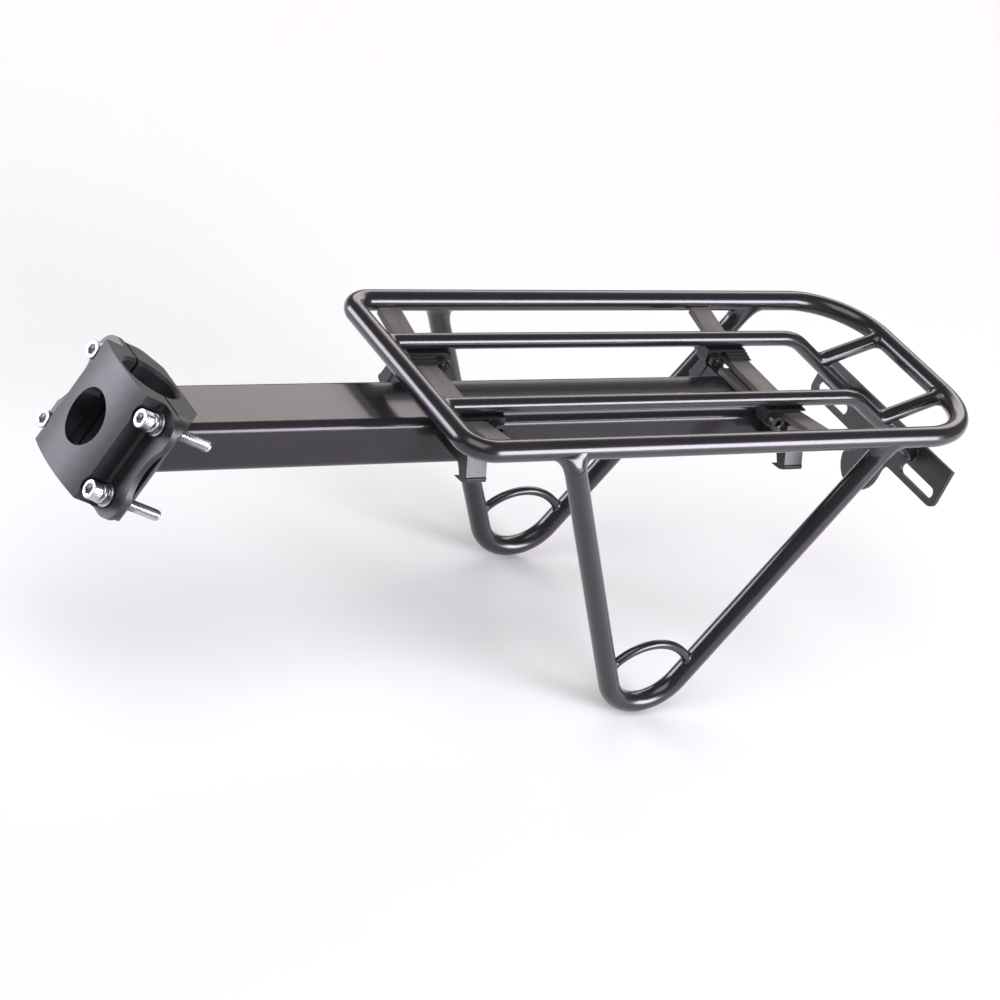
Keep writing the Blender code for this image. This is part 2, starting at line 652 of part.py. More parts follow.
def build_clamp_bolts(clamp, steel):
    """Four socket-head bolts, each with a collar and a washer under its head."""
    head_front = -CAP_EDGE
    head_back = head_front + BOLT_HEAD_H
    washer_front = -CAP_SEAT - GAP - WASHER_T
    for name, y, z in bolt_places():
        profile = [(head_front, 0.0), (head_front, BOLT_HEAD_R - HEAD_BEVEL),
                   (head_front + HEAD_BEVEL, BOLT_HEAD_R), (head_back, BOLT_HEAD_R), (head_back, BOLT_R),
                   (head_back + BOLT_LENGTH, BOLT_R), (head_back + BOLT_LENGTH, 0.0)]
        bolt = make_object(f"clamp_bolt_{name}", lathe(profile, ROUND_SIDES, "X"), steel, clamp)
        bolt.location = (0, y, z)
        socket = prism(hexagon(HEX_R), "X", head_front - FAR, head_front + HEX_DEPTH)
        cutter = make_object(f"socket_{name}", socket, steel, clamp)
        cutter.location = (0, y, z)
        boolean(bolt, cutter, "DIFFERENCE")
        rings = {
            "collar": (head_back + GAP, washer_front - GAP, COLLAR_R),
            "washer": (washer_front, washer_front + WASHER_T, WASHER_R),
        }
        for label, (low, high, radius) in rings.items():
            outline = [(low, BOLT_HOLE_R), (low, radius), (high, radius), (high, BOLT_HOLE_R)]
            ring = make_object(f"clamp_{label}_{name}", lathe(outline, ROUND_SIDES, "X"), steel, clamp)
            ring.location = (0, y, z)


def build():
    clear_scene()
    paint = finish_material("satin_black_paint", (0.045, 0.040, 0.045), 0.35, 0.2)
    anodised = finish_material("black_anodised", (0.060, 0.055, 0.060), 0.45, 0.6)
    cast = finish_material("cast_black", (0.030, 0.028, 0.032), 0.45, 0.3)
    moulded = finish_material("black_plastic", (0.020, 0.020, 0.022), 0.60, 0.0)
    steel = finish_material("zinc_plated_steel", (0.75, 0.76, 0.78), 0.28, 1.0)
    black_steel = finish_material("black_steel", (0.060, 0.058, 0.062), 0.35, 1.0)

    clamp = make_frame("clamp_axis", (0, 0, 0), POST_TILT)
    build_clamp_body(clamp, cast)
    build_clamp_cap(clamp, cast)
    build_clamp_bolts(clamp, steel)
    build_beam(clamp, anodised, moulded)

    loop_room = build_platform(paint)
    build_light_bracket(paint)
    for place in CROSS_X:
        build_cross_member(place, anodised)
        for side in SIDES:
            build_jaw(place, side, cast)
            build_saddle(place, side, moulded, black_steel)
    for side in SIDES:
        build_strut(side, loop_room, paint)


build()
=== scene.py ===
"""The finished look of a seatpost-mounted rear rack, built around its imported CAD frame.

Metres, in the frame of the part: the origin is the centre of the seatpost bore, +X points to
the rear of the bicycle, +Y to its right-hand side and +Z up.  Tubes and screws are remade here
with fine surfaces, threads and welds; castings, strips and plates stay as the frame has them.
"""
import math

import bmesh
import bpy
from mathutils import Matrix, Vector


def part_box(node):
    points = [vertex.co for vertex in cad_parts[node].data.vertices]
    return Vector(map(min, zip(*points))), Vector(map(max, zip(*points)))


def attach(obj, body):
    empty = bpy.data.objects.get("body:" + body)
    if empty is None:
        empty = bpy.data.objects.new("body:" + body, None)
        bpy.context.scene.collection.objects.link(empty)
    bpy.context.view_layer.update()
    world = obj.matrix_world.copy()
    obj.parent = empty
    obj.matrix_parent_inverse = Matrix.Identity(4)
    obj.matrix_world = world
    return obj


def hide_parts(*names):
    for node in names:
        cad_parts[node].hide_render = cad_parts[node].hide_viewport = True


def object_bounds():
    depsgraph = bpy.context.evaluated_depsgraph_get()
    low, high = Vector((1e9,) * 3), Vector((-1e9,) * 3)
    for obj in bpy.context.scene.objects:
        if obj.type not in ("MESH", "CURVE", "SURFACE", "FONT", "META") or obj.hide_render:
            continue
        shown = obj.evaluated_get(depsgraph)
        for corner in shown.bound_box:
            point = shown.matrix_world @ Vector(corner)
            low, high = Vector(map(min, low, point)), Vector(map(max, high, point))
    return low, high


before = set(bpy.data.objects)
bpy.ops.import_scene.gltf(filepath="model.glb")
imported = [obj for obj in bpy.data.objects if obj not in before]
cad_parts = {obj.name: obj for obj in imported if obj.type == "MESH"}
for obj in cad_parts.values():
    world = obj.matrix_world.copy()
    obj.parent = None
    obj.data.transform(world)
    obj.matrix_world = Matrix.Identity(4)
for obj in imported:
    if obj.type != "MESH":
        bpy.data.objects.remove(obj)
cad_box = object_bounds()

MM = 0.001
SIDES = {"left": -1, "right": 1}
PLACES = ("front", "rear")

# Beam.
BEAM_HALF_W = 21.4 * MM
BEAM_TOP = 13.2 * MM
BEAM_BOTTOM = -15.3 * MM
BEAM_WALL = 2.5 * MM
BEAM_EDGE_R = 5.0 * MM
BEAM_END = 403.0 * MM
BEAM_CHAMFER = 0.25 * MM
BODY_REAR = 20.0 * MM  # the clamp face the beam meets, in the clamp's own axes

# Platform tubes.
OUTER_R = 6.0 * MM
RAIL_R = 4.5 * MM
PLATFORM_Z = 29.7 * MM
FRONT_X = 162.3 * MM
TAIL_X = 513.3 * MM
HALF_WIDTH = 75.5 * MM
RAIL_Y = 32.2 * MM
FRONT_CORNER_R = 14.0 * MM
TAIL_CORNER_R = 43.7 * MM
DIP_START_X = 444.9 * MM
DIP_ANGLE = math.radians(33.6)
DIP_BEND_R = 30.0 * MM
RISER_X = 469.5 * MM

# Light bracket: the top edge of its front face, and its lean.
BRACKET_X = 509.2 * MM
BRACKET_Z = -2.7 * MM
BRACKET_TILT = math.radians(9.5)

# Side struts and their hoops.
STRUT_FRONT_X = 220.9 * MM
STRUT_REAR_X = 442.6 * MM
STRUT_FRONT_RUN = 0.514
STRUT_REAR_RUN = 0.569
STRUT_BEND_R = 27.5 * MM
STRUT_Y = 77.5 * MM
STRUT_MIDDLE_X = 330.0 * MM
STRUT_TOE = -0.0186
HOOP_R = 2.65 * MM
HOOP_X = 327.2 * MM
HOOP_TOP = -104.5 * MM
HOOP_ARC_R = 33.6 * MM
HOOP_HALF = 27.5 * MM

# Seatpost clamp screws, in the clamp's own axes: X to the rear, Z along the seatpost.
POST_TILT = math.radians(23.72)
BOLT_Y = 32.0 * MM
BOLT_Z = 22.3 * MM
BOLT_FRONT = -16.2 * MM
COLLAR_FRONT = -9.9 * MM
WASHER_FRONT = -5.9 * MM
COLLAR_R = 5.2 * MM
WASHER_R = 6.2 * MM
WASHER_T = 1.3 * MM
COLLAR_EDGE = 0.5 * MM
WASHER_EDGE = 0.3 * MM
BOLT_HOLE_R = 3.3 * MM
GAP = 0.3 * MM

# Saddle screws, along Y.
SADDLE_HEAD_OUT = 42.5 * MM
SADDLE_NUT_OUT = 26.9 * MM
SADDLE_NUT_H = 4.0 * MM
SADDLE_SHANK = 16.1 * MM
BOSS_Z = 19.3 * MM
SADDLE_NUT_FLAT = 4.0 * MM
SADDLE_NUT_CORNER = 4.6 * MM
SADDLE_NUT_FACE = 4.1 * MM
SADDLE_NUT_BORE = 2.8 * MM
SADDLE_NUT_EDGE = 0.4 * MM

# Socket-head screws: M6 through the clamp, M5 through the saddles.
CLAMP_SCREW = {
    "head_r": 5.0 * MM, "head_h": 6.0 * MM, "shank_r": 3.0 * MM, "length": 40.0 * MM,
    "plain": 16.0 * MM, "hex_flat": 2.5 * MM, "hex_depth": 3.2 * MM, "pitch": 1.0 * MM,
}
SADDLE_SCREW = {
    "head_r": 4.25 * MM, "head_h": 5.0 * MM, "shank_r": 2.5 * MM, "length": SADDLE_SHANK,
    "plain": 6.0 * MM, "hex_flat": 2.0 * MM, "hex_depth": 2.6 * MM, "pitch": 0.8 * MM,
}
KNURL_DEPTH = 0.16 * MM
KNURL_RIDGES = 24

TUBE_SIDES = 48
# Welds: how far a fillet runs along the bar, round it, and up the tube.
FLARE = {"reach": 7.5 * MM, "wrap": 2.5 * MM, "climb": 13.0 * MM}
FLARE_OVERLAP = 2.5 * MM  # how far a strut's tube runs on inside its flare
BEAD = {"reach": 4.5 * MM, "wrap": 3.2 * MM, "climb": 4.5 * MM}
SMALL_BEAD = {"reach": 1.7 * MM, "wrap": 1.4 * MM, "climb": 1.7 * MM}
WELD_STEPS = 72
WELD_CURVE = 12  # steps across a fillet
RIPPLES = 18
RIPPLE_DEPTH = 0.07
TOE_SINK = 0.1 * MM  # how far a fillet's edges lie inside the metal they meet
CLIMB_SINK = 0.02 * MM
WELD_BACK = 0.8 * MM  # how far the fillet's hidden back lies inside


# ---------------------------------------------------------------- materials

def new_node(tree, kind, **inputs):
    node = tree.nodes.new(kind)
    for name, value in inputs.items():
        node.inputs[name.replace("_", " ")].default_value = value
    return node


def noise(tree, coords, stretch, scale, detail=4.0):
    """Noise on the object's own coordinates, stretched along some axes to make a grain."""
    mapping = tree.nodes.new("ShaderNodeMapping")
    mapping.inputs["Scale"].default_value = stretch
    tree.links.new(coords.outputs["Object"], mapping.inputs["Vector"])
    texture = new_node(tree, "ShaderNodeTexNoise", Scale=scale, Detail=detail)
    tree.links.new(mapping.outputs["Vector"], texture.inputs["Vector"])
    return texture.outputs["Fac"]


def spread(tree, factor, low, high):
    """Map the middle of a noise to the range low to high."""
    scale = tree.nodes.new("ShaderNodeMapRange")
    scale.inputs["From Min"].default_value = 0.3
    scale.inputs["From Max"].default_value = 0.7
    scale.inputs["To Min"].default_value = low
    scale.inputs["To Max"].default_value = high
    tree.links.new(factor, scale.inputs["Value"])
    return scale.outputs["Result"]


MOTTLE = 1 / 12  # size of the colour mottle's frequency against the grain's
COAT_ROUGHNESS = 0.12


def finish(name, dark, light, roughness, metallic=0.0, coat=0.0, stretch=(1, 1, 1), grain=900.0,
           depth=0.02, specular=0.5):
    """A painted, anodised, cast or plated finish: mottled colour, uneven gloss and fine relief."""
    material = bpy.data.materials.new(name)
    material.use_nodes = True
    tree = material.node_tree
    shader = tree.nodes["Principled BSDF"]
    shader.inputs["Metallic"].default_value = metallic
    shader.inputs["Coat Weight"].default_value = coat
    shader.inputs["Coat Roughness"].default_value = COAT_ROUGHNESS
    shader.inputs["Specular IOR Level"].default_value = specular
    coords = tree.nodes.new("ShaderNodeTexCoord")
    mottle = noise(tree, coords, stretch, grain * MOTTLE)
    mix = tree.nodes.new("ShaderNodeMix")
    mix.data_type = "RGBA"
    mix.inputs["A"].default_value = (*dark, 1.0)
    mix.inputs["B"].default_value = (*light, 1.0)
    tree.links.new(spread(tree, mottle, 0.0, 1.0), mix.inputs["Factor"])
    tree.links.new(mix.outputs["Result"], shader.inputs["Base Color"])
    fine = noise(tree, coords, stretch, grain)
    tree.links.new(spread(tree, fine, *roughness), shader.inputs["Roughness"])
    bump = new_node(tree, "ShaderNodeBump", Strength=1.0, Distance=depth * MM)
    tree.links.new(fine, bump.inputs["Height"])
    tree.links.new(bump.outputs["Normal"], shader.inputs["Normal"])
    return material


def make_finishes():
    return {
        "satin_black_paint": finish("satin_black_paint", (0.012, 0.010, 0.013),
                                    (0.017, 0.014, 0.018), (0.22, 0.26), coat=0.35, grain=500.0, depth=0.002),
        "black_anodised": finish("black_anodised", (0.015, 0.012, 0.016), (0.019, 0.016, 0.020),
                                 (0.27, 0.31), coat=0.5, stretch=(0.04, 1, 1), grain=1500.0,
                                 depth=0.001, specular=0.15),
        "strip_anodised": finish("strip_anodised", (0.085, 0.077, 0.075), (0.150, 0.138, 0.134),
                                 (0.42, 0.56), stretch=(1, 0.05, 1), grain=1800.0, depth=0.02),
        "cast_black": finish("cast_black", (0.012, 0.011, 0.014), (0.022, 0.019, 0.024),
                             (0.34, 0.44), grain=1100.0, depth=0.05),
        "black_plastic": finish("black_plastic", (0.010, 0.010, 0.011), (0.017, 0.016, 0.018),
                                (0.42, 0.55), grain=1300.0, depth=0.04),
        "bracket_paint": finish("bracket_paint", (0.012, 0.011, 0.012), (0.019, 0.017, 0.018),
                                (0.45, 0.58), grain=1600.0, depth=0.06),
        "black_steel": finish("black_steel", (0.035, 0.033, 0.037), (0.060, 0.057, 0.062),
                              (0.22, 0.34), metallic=0.6, grain=1500.0, depth=0.006),
        "zinc_steel": finish("zinc_steel", (0.40, 0.42, 0.44), (0.56, 0.58, 0.60),
                             (0.22, 0.34), metallic=1.0, grain=1500.0, depth=0.006),
    }


# ---------------------------------------------------------------- mesh helpers

def add_piece(name, bm, body, slot, replaced=None, smooth=40.0):
    """Make a bmesh into a finished piece that rides on a body and stands for a CAD node.

    Its finish has the name of its material slot; edges over smooth degrees stay sharp.
    """
    bmesh.ops.recalc_face_normals(bm, faces=bm.faces)
    mesh = bpy.data.meshes.new(name)
    bm.to_mesh(mesh)
    bm.free()
    mesh.shade_smooth()
    mesh.set_sharp_from_angle(angle=math.radians(smooth))
    mesh.materials.append(FINISHES[slot])
    piece = bpy.data.objects.new(name, mesh)
    bpy.context.scene.collection.objects.link(piece)
    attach(piece, body)
    if replaced:
        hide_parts(replaced)
    return piece


def arc(centre, radius, start, end, steps):
    """Points on a circle from start to end, in degrees."""
    points = []
    for i in range(steps + 1):
        angle = math.radians(start + (end - start) * i / steps)
        points.append((centre[0] + radius * math.cos(angle), centre[1] + radius * math.sin(angle)))
    return points


def fillet_path(corners, radii, step=4.0):
    """A path through the corners, each rounded to its radius; step is in degrees."""
    path = []
    count = len(corners)
    for i, corner in enumerate(corners):
        if radii[i] == 0.0:
            path.append(corner.copy())
            continue
        back = (corners[i - 1] - corner).normalized()
        ahead = (corners[(i + 1) % count] - corner).normalized()
        half = back.angle(ahead) / 2
        centre = corner + (back + ahead).normalized() * radii[i] / math.sin(half)
        start = corner + back * radii[i] / math.tan(half) - centre
        turn = math.pi - 2 * half
        steps = math.ceil(math.degrees(turn) / step)
        for k in range(steps + 1):
            angle = turn * k / steps
            path.append(centre + start * math.cos(angle) - back * radii[i] * math.sin(angle))
    return path


def bridge(bm, loops, closed):
    """Faces between neighbouring loops of vertices; a loop of one vertex is a pole."""
    pairs = list(zip(loops, loops[1:]))
    if closed:
        pairs.append((loops[-1], loops[0]))
    for first, second in pairs:
        sides = max(len(first), len(second))
        for k in range(sides):
            j = (k + 1) % sides
            corners = [first[k % len(first)], first[j % len(first)],
                       second[j % len(second)], second[k % len(second)]]
            bm.faces.new(list(dict.fromkeys(corners)))


def tube(path, normal, radius, sides=TUBE_SIDES, closed=False):
    """Sweep a circle along a plane path; normal is the plane's."""
    bm = bmesh.new()
    loops = []
    count = len(path)
    for i, point in enumerate(path):
        behind = path[i - 1] if (i > 0 or closed) else point
        ahead = path[(i + 1) % count] if (i < count - 1 or closed) else point
        across = (ahead - behind).normalized().cross(normal)
        loop = []
        for k in range(sides):
            angle = 2 * math.pi * k / sides
            spoke = math.cos(angle) * normal + math.sin(angle) * across
            loop.append(bm.verts.new(point + radius * spoke))
        loops.append(loop)
    if not closed:
        bm.faces.new(loops[0])
        bm.faces.new(loops[-1])
    bridge(bm, loops, closed)
    return bm


def turned(profile, place, sides=48, ring=False):
    """Turn a profile of (distance along X, radius) about X; a radius may depend on the angle."""
    bm = bmesh.new()
    loops = []
    for along, radius in profile:
        if radius == 0.0:
            loops.append([bm.verts.new(place @ Vector((along, 0, 0)))])
            continue
        loop = []
        for k in range(sides):
            angle = 2 * math.pi * k / sides
            r = radius(angle) if callable(radius) else radius
            point = Vector((along, r * math.cos(angle), r * math.sin(angle)))
            loop.append(bm.verts.new(place @ point))
        loops.append(loop)
    bridge(bm, loops, ring)
    return bm


def hexagon(flat, limit=1.0):
    """Radius of a hexagon by angle, cut off at limit where its corners are turned down."""
    def radius(angle):
        off = (angle + math.pi / 6) % (math.pi / 3) - math.pi / 6
        return min(flat / math.cos(off), limit)
    return radius


def knurl(radius, depth, ridges):
    return lambda angle: radius - depth * (0.5 - 0.5 * math.cos(ridges * angle))


# ---------------------------------------------------------------- welds

def weld(name, foot, axis, radius, big_point, big_axis, big_radius, size):
    """A rippled fillet where a tube, from foot along axis, leaves a round bar."""
    axis = axis.normalized()
    big_axis = big_axis.normalized()
    side = axis.cross(big_axis).normalized()
    up = side.cross(axis)
    bm = bmesh.new()
    loops = []

    def off_axis(point):
        away = point - big_point
        return away - away.dot(big_axis) * big_axis

    for k in range(WELD_STEPS):
        angle = 2 * math.pi * k / WELD_STEPS
        spoke = math.cos(angle) * side + math.sin(angle) * up
        start = foot + radius * spoke
        lean = axis - axis.dot(big_axis) * big_axis
        away = off_axis(start)
        a, b, c = lean.dot(lean), away.dot(lean), away.dot(away) - big_radius ** 2
        contact = start + axis * ((-b + math.sqrt(max(b * b - a * c, 0.0))) / a)
        out = off_axis(contact).normalized()
        touch = contact - off_axis(contact) + out * big_radius
        along = spoke - spoke.dot(out) * out
        share = abs(along.normalized().dot(big_axis)) if along.length > 1e-6 else 0.0
        ripple = 1.0 + RIPPLE_DEPTH * math.sin(RIPPLES * angle)
        reach = ripple * (size["wrap"] + (size["reach"] - size["wrap"]) * share ** 2)
        toe = touch + along * reach
        toe += off_axis(toe).normalized() * big_radius - off_axis(toe) - out * TOE_SINK
        climb = contact + axis * size["climb"] - spoke * CLIMB_SINK
        rise = climb.lerp(contact, 2 / 3)
        spill = toe.lerp(touch, 2 / 3)
        loop = []
        for i in range(WELD_CURVE + 1):
            s = i / WELD_CURVE
            loop.append(climb * (1 - s) ** 3 + rise * 3 * s * (1 - s) ** 2
                        + spill * 3 * s ** 2 * (1 - s) + toe * s ** 3)
        loop.append(touch - (spoke + out) * WELD_BACK)
        loops.append([bm.verts.new(point) for point in loop])
    bridge(bm, loops, True)
    return add_piece(name, bm, "platform", "satin_black_paint", smooth=70.0)


# ---------------------------------------------------------------- beam

def build_beam():
    """The hollow extrusion, its edges round enough to carry a clean line of light."""
    bm = bmesh.new()

    def front(z):
        return (BODY_REAR + GAP + z * math.sin(POST_TILT)) / math.cos(POST_TILT)

    def section(x, inset, from_clamp=False):
        radius = BEAM_EDGE_R - inset
        side = BEAM_HALF_W - BEAM_EDGE_R
        low = BEAM_BOTTOM + BEAM_EDGE_R
        high = BEAM_TOP - BEAM_EDGE_R
        corners = ((side, high), (-side, high), (-side, low), (side, low))
        points = []
        for centre, start in zip(corners, (0, 90, 180, 270)):
            points += arc(centre, radius, start, start + 90, 12)
        return [bm.verts.new((x + (front(z) if from_clamp else 0.0), y, z)) for y, z in points]

    bridge(bm, [
        section(BEAM_CHAMFER, 0.0, True), section(BEAM_END - BEAM_CHAMFER, 0.0),
        section(BEAM_END, BEAM_CHAMFER), section(BEAM_END, BEAM_WALL - BEAM_CHAMFER),
        section(BEAM_END - BEAM_CHAMFER, BEAM_WALL), section(BEAM_CHAMFER, BEAM_WALL, True),
        section(0.0, BEAM_WALL - BEAM_CHAMFER, True), section(0.0, BEAM_CHAMFER, True),
    ], True)
    beam = add_piece("beam_extrusion", bm, "beam", "black_anodised", "beam_tube")
    beam.modifiers.new("weighted_normals", "WEIGHTED_NORMAL").keep_sharp = True


# ---------------------------------------------------------------- platform

def dip_point(x):
    return PLATFORM_Z - (x - DIP_START_X) * math.tan(DIP_ANGLE)


def build_platform():
    up = Vector((0, 0, 1))
    across = Vector((0, 1, 0))
    corners = [Vector((x, y, PLATFORM_Z)) for x, y in (
        (FRONT_X, -HALF_WIDTH), (TAIL_X, -HALF_WIDTH),
        (TAIL_X, HALF_WIDTH), (FRONT_X, HALF_WIDTH))]
    loop = fillet_path(corners, [FRONT_CORNER_R, TAIL_CORNER_R, TAIL_CORNER_R, FRONT_CORNER_R])
    add_piece("outer_loop_tube", tube(loop, up, OUTER_R, closed=True), "platform",
              "satin_black_paint", "outer_loop")
    dip = Vector((math.cos(DIP_ANGLE), 0, -math.sin(DIP_ANGLE)))
    plate_out = Vector((-math.cos(BRACKET_TILT), 0, math.sin(BRACKET_TILT)))
    for side, sign in SIDES.items():
        y = sign * RAIL_Y
        end = Vector((BRACKET_X, y, dip_point(BRACKET_X)))
        bracket_face = Vector((BRACKET_X, y, BRACKET_Z))
        end += dip * ((bracket_face - end).dot(plate_out) / dip.dot(plate_out))
        level = [Vector((x, y, PLATFORM_Z)) for x in (FRONT_X, DIP_START_X)]
        path = fillet_path([*level, end], [0.0, DIP_BEND_R, 0.0])
        add_piece(f"inner_rail_tube_{side}", tube(path, across, RAIL_R), "platform",
                  "satin_black_paint", f"inner_rail_{side}")
        low = Vector((RISER_X, y, dip_point(RISER_X)))
        high = Vector((TAIL_X, y, PLATFORM_Z))
        add_piece(f"tail_riser_tube_{side}", tube([low, high], across, RAIL_R), "platform",
                  "satin_black_paint", f"tail_riser_{side}")
        weld(f"weld_rail_front_{side}", path[0], Vector((1, 0, 0)), RAIL_R, path[0], across,
             OUTER_R, BEAD)
        weld(f"weld_riser_tail_{side}", high, low - high, RAIL_R, high, across, OUTER_R, BEAD)
        weld(f"weld_riser_rail_{side}", low, high - low, RAIL_R, low, dip, RAIL_R, BEAD)
        plate_axis = bracket_face - plate_out
        weld(f"weld_rail_bracket_{side}", end, -dip, RAIL_R, plate_axis, across, 1.0, SMALL_BEAD)


# ---------------------------------------------------------------- side struts

def strut_point(sign, x, z):
    return Vector((x, sign * (STRUT_Y + STRUT_TOE * (x - STRUT_MIDDLE_X)), z))


def build_struts():
    drop = (STRUT_REAR_X - STRUT_FRONT_X) / (STRUT_FRONT_RUN + STRUT_REAR_RUN)
    for side, sign in SIDES.items():
        normal = Vector((-sign * STRUT_TOE, 1.0, 0.0)).normalized()
        tops = {
            "front": strut_point(sign, STRUT_FRONT_X, PLATFORM_Z),
            "rear": strut_point(sign, STRUT_REAR_X, PLATFORM_Z),
        }
        corner = strut_point(sign, STRUT_FRONT_X + drop * STRUT_FRONT_RUN, PLATFORM_Z - drop)
        ends = {}
        for place, top in tops.items():
            ends[place] = top + (corner - top).normalized() * (FLARE["climb"] - FLARE_OVERLAP)
            loop_point = Vector((top.x, sign * HALF_WIDTH, PLATFORM_Z))
            weld(f"weld_strut_{place}_{side}", top, corner - top, OUTER_R, loop_point,
                 Vector((1, 0, 0)), OUTER_R, FLARE)
        path = fillet_path([ends["front"], corner, ends["rear"]], [0.0, STRUT_BEND_R, 0.0])
        add_piece(f"side_strut_tube_{side}", tube(path, normal, OUTER_R), "platform",
                  "satin_black_paint", f"side_strut_{side}")
        reach = math.degrees(math.asin(HOOP_HALF / HOOP_ARC_R))
        arch = arc((HOOP_X, HOOP_TOP - HOOP_ARC_R), HOOP_ARC_R, 90 + reach, 90 - reach, 30)
        hoop = [strut_point(sign, x, z) for x, z in arch]
        add_piece(f"strut_hoop_rod_{side}", tube(hoop, normal, HOOP_R, 32), "platform",
                  "satin_black_paint", f"strut_hoop_{side}")
        for place, inner, outer in (("front", hoop[3], hoop[0]), ("rear", hoop[-4], hoop[-1])):
            top = tops[place]
            weld(f"weld_hoop_{place}_{side}", outer, inner - outer, HOOP_R, top, corner - top,
                 OUTER_R, SMALL_BEAD)


# ---------------------------------------------------------------- screws

def cap_screw(place, head_r, head_h, shank_r, length, plain, hex_flat, hex_depth, pitch):
    """A socket-head screw from its head's front at X 0, with a plain shank and then a thread."""
    edge = 0.12 * head_r
    profile = [(hex_depth + 0.4 * hex_flat, 0.0), (hex_depth, hexagon(hex_flat)),
               (0.2 * MM, hexagon(hex_flat)), (0.0, 1.22 * hex_flat)]
    profile += [(edge + x, r) for x, r in arc((0.0, head_r - edge), edge, 180, 90, 4)]
    grip = knurl(head_r, KNURL_DEPTH, KNURL_RIDGES)
    profile += [(1.6 * edge, grip), (head_h - 1.6 * edge, grip), (head_h - edge, head_r),
                (head_h, head_r - edge / 2), (head_h, shank_r), (head_h + plain, shank_r)]
    x = head_h + plain
    while x < head_h + length - 2 * pitch:
        root = shank_r - 0.45 * pitch
        profile += [(x + 0.30 * pitch, root), (x + 0.45 * pitch, root),
                    (x + 0.85 * pitch, shank_r), (x + pitch, shank_r)]
        x += pitch
    profile += [(head_h + length - 0.6 * pitch, shank_r - 0.2 * pitch),
                (head_h + length, shank_r - 0.8 * pitch), (head_h + length, 0.0)]
    return turned(profile, place, 96)


def chamfered_ring(place, low, high, bore, radius, edge):
    profile = [(low, bore), (low, radius - edge), (low + edge, radius), (high - edge, radius),
               (high, radius - edge), (high, bore)]
    return turned(profile, place, 64, ring=True)


def build_clamp_screws():
    tilt = Matrix.Rotation(POST_TILT, 4, "Y")
    for level, z in (("upper", BOLT_Z), ("lower", -BOLT_Z)):
        for side, sign in SIDES.items():
            name = f"{level}_{side}"
            place = tilt @ Matrix.Translation((0, sign * BOLT_Y, z))
            front = place @ Matrix.Translation((BOLT_FRONT, 0, 0))
            screw = cap_screw(front, **CLAMP_SCREW)
            add_piece(f"clamp_screw_{name}", screw, "clamp_cap", "zinc_steel",
                      f"clamp_bolt_{name}", 35.0)
            collar = chamfered_ring(place, COLLAR_FRONT, WASHER_FRONT - GAP, BOLT_HOLE_R,
                                    COLLAR_R, COLLAR_EDGE)
            add_piece(f"screw_collar_{name}", collar, "clamp_cap", "zinc_steel",
                      f"clamp_collar_{name}", 50.0)
            washer = chamfered_ring(place, WASHER_FRONT, WASHER_FRONT + WASHER_T, BOLT_HOLE_R,
                                    WASHER_R, WASHER_EDGE)
            add_piece(f"screw_washer_{name}", washer, "clamp_cap", "zinc_steel",
                      f"clamp_washer_{name}", 50.0)


def build_saddle_screws():
    for place in PLACES:
        for side, sign in SIDES.items():
            name = f"{place}_{side}"
            low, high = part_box(f"saddle_bolt_{name}")
            x = (low[0] + high[0]) / 2
            turn = Matrix.Rotation(math.radians(-90 * sign), 4, "Z")
            head = Matrix.Translation((x, sign * SADDLE_HEAD_OUT, BOSS_Z)) @ turn
            screw = cap_screw(head, **SADDLE_SCREW)
            add_piece(f"saddle_screw_{name}", screw, "platform", "black_steel",
                      f"saddle_bolt_{name}", 35.0)
            inner = Matrix.Translation((x, sign * SADDLE_NUT_OUT, BOSS_Z)) @ turn
            full = hexagon(SADDLE_NUT_FLAT, SADDLE_NUT_CORNER)
            cut = hexagon(SADDLE_NUT_FLAT, SADDLE_NUT_FACE)
            profile = [(0.0, SADDLE_NUT_BORE), (0.0, cut), (SADDLE_NUT_EDGE, full),
                       (SADDLE_NUT_H - SADDLE_NUT_EDGE, full), (SADDLE_NUT_H, cut),
                       (SADDLE_NUT_H, SADDLE_NUT_BORE)]
            add_piece(f"saddle_hex_nut_{name}", turned(profile, inner, 96, ring=True), "platform",
                      "black_steel", f"saddle_nut_{name}", 25.0)


# ---------------------------------------------------------------- CAD nodes that stay

SHARP_ANGLE = 30.0  # degrees
BEVEL_ANGLE = 32.0
FLAT_ANGLE = 0.6
JOIN_DISTANCE = 0.01 * MM
BEVEL_SEGMENTS = 3


def make_smoothing():
    """Geometry nodes that shade faces smooth and keep the edges over SHARP_ANGLE sharp."""
    tree = bpy.data.node_groups.new("smooth_by_angle", "GeometryNodeTree")
    tree.interface.new_socket("Geometry", in_out="INPUT", socket_type="NodeSocketGeometry")
    tree.interface.new_socket("Geometry", in_out="OUTPUT", socket_type="NodeSocketGeometry")
    start = tree.nodes.new("NodeGroupInput")
    end = tree.nodes.new("NodeGroupOutput")
    faces = tree.nodes.new("GeometryNodeSetShadeSmooth")
    faces.domain = "FACE"
    faces.inputs["Shade Smooth"].default_value = True
    edges = tree.nodes.new("GeometryNodeSetShadeSmooth")
    edges.domain = "EDGE"
    edges.inputs["Shade Smooth"].default_value = False
    bend = tree.nodes.new("GeometryNodeInputMeshEdgeAngle")
    over = tree.nodes.new("ShaderNodeMath")
    over.operation = "GREATER_THAN"
    over.inputs[1].default_value = math.radians(SHARP_ANGLE)
    tree.links.new(start.outputs[0], faces.inputs["Geometry"])
    tree.links.new(faces.outputs[0], edges.inputs["Geometry"])
    tree.links.new(bend.outputs["Unsigned Angle"], over.inputs[0])
    tree.links.new(over.outputs[0], edges.inputs["Selection"])
    tree.links.new(edges.outputs[0], end.inputs[0])
    return tree


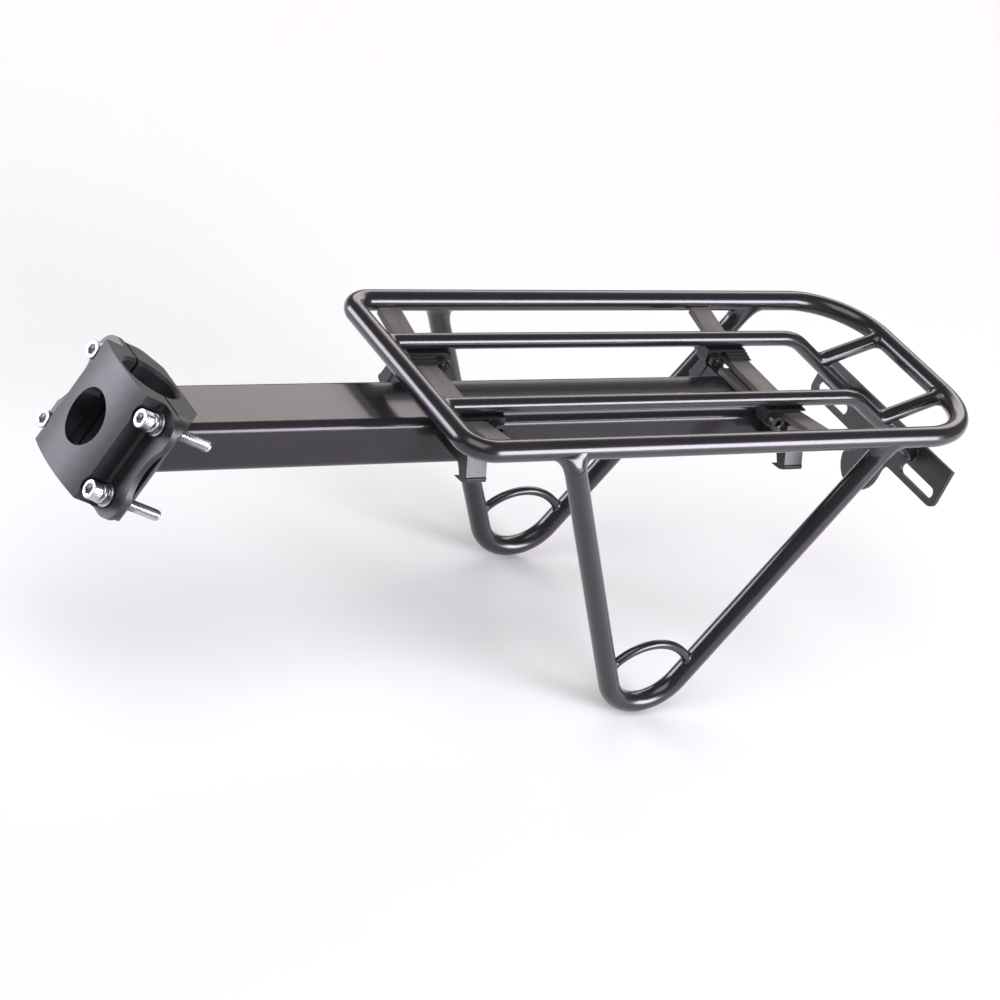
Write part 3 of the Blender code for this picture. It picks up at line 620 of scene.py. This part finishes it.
def round_edges(name, finish_name, width, smoothing):
    """Give a CAD node its finish, and turn its sharp edges into small radii."""
    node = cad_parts[name]
    node.data.materials.clear()
    node.data.materials.append(FINISHES[finish_name])
    weld_points = node.modifiers.new("join_corners", "WELD")
    weld_points.merge_threshold = JOIN_DISTANCE
    flat = node.modifiers.new("flat_faces", "DECIMATE")
    flat.decimate_type = "DISSOLVE"
    flat.angle_limit = math.radians(FLAT_ANGLE)
    bevel = node.modifiers.new("round_edges", "BEVEL")
    bevel.width = width
    bevel.segments = BEVEL_SEGMENTS
    bevel.limit_method = "ANGLE"
    bevel.angle_limit = math.radians(BEVEL_ANGLE)
    smooth = node.modifiers.new("smooth_crowns", "NODES")
    smooth.node_group = smoothing
    node.modifiers.new("weighted_normals", "WEIGHTED_NORMAL").keep_sharp = True


def finish_frame():
    smoothing = make_smoothing()
    for part in ("body", "cap"):
        round_edges(f"seatpost_clamp_{part}", "cast_black", 0.8 * MM, smoothing)
    round_edges("beam_end_plug", "black_plastic", 0.5 * MM, smoothing)
    round_edges("light_bracket", "bracket_paint", 0.35 * MM, smoothing)
    for place in PLACES:
        round_edges(f"{place}_cross_member", "strip_anodised", 0.4 * MM, smoothing)
        for side in SIDES:
            round_edges(f"beam_jaw_{place}_{side}", "cast_black", 0.5 * MM, smoothing)
            round_edges(f"rail_saddle_{place}_{side}", "black_plastic", 0.35 * MM, smoothing)


# ---------------------------------------------------------------- studio

# Name, direction from the part's centre, distance, size, radiance and colour.
SOFTBOXES = (
    ("back_box", (0.54, 0.68, 0.49), 2.4, (2.4, 0.9), 3.3, (1.0, 0.93, 0.90)),
    ("near_box", (0.54, -0.82, 0.22), 2.0, (1.1, 0.95), 17.0, (0.94, 0.91, 1.0)),
    ("left_box", (-0.72, 0.68, 0.12), 2.2, (1.2, 1.0), 10.0, (0.90, 0.87, 1.0)),
    ("top_box", (-0.45, -0.3, 1.0), 3.0, (2.4, 2.4), 2.8, (1.0, 1.0, 1.0)),
)
FLOOR_SIZE = 30.0
FLOOR_GAP = 0.001
FLOOR_COLOUR = (0.92, 0.92, 0.92, 1.0)
WORLD_COLOUR = (1.0, 0.99, 1.0, 1.0)
WORLD_STRENGTH = 0.18
CAMERA_PLACE = (-0.59474, -1.05881, 0.70319)
CAMERA_TURN = (59.406, -16.211, -29.157)  # degrees
CAMERA_LENS = 99.94


def softbox(centre, name, direction, distance, size, radiance, colour):
    light = bpy.data.lights.new(name, "AREA")
    light.shape = "RECTANGLE"
    light.size, light.size_y = size
    light.energy = radiance * math.pi * size[0] * size[1]
    light.color = colour
    lamp = bpy.data.objects.new(name, light)
    bpy.context.scene.collection.objects.link(lamp)
    lamp.location = centre + Vector(direction).normalized() * distance
    lamp.rotation_euler = (centre - lamp.location).to_track_quat("-Z", "Y").to_euler()
    lamp.visible_camera = False


def build_studio():
    low, high = (Vector(corner) for corner in cad_box)
    centre = (low + high) / 2
    bm = bmesh.new()
    bmesh.ops.create_grid(bm, x_segments=1, y_segments=1, size=FLOOR_SIZE)
    mesh = bpy.data.meshes.new("floor")
    bm.to_mesh(mesh)
    bm.free()
    floor = bpy.data.objects.new("floor", mesh)
    floor.location = (centre.x, centre.y, low.z - FLOOR_GAP)
    bpy.context.scene.collection.objects.link(floor)
    pale = bpy.data.materials.new("pale_floor")
    pale.use_nodes = True
    shader = pale.node_tree.nodes["Principled BSDF"]
    shader.inputs["Base Color"].default_value = FLOOR_COLOUR
    shader.inputs["Roughness"].default_value = 0.9
    shader.inputs["Specular IOR Level"].default_value = 0.1
    mesh.materials.append(pale)

    world = bpy.data.worlds.new("studio")
    world.use_nodes = True
    background = world.node_tree.nodes["Background"]
    background.inputs["Color"].default_value = WORLD_COLOUR
    background.inputs["Strength"].default_value = WORLD_STRENGTH
    bpy.context.scene.world = world
    bpy.context.scene.view_settings.view_transform = "Standard"

    for settings in SOFTBOXES:
        softbox(centre, *settings)

    camera_data = bpy.data.cameras.new("camera")
    camera_data.lens = CAMERA_LENS
    camera_data.sensor_width = 36.0
    camera_data.clip_end = 100.0
    camera = bpy.data.objects.new("camera", camera_data)
    camera.location = CAMERA_PLACE
    camera.rotation_euler = [math.radians(angle) for angle in CAMERA_TURN]
    bpy.context.scene.collection.objects.link(camera)
    bpy.context.scene.camera = camera


FINISHES = make_finishes()
build_studio()
build_beam()
build_platform()
build_struts()
build_clamp_screws()
build_saddle_screws()
finish_frame()
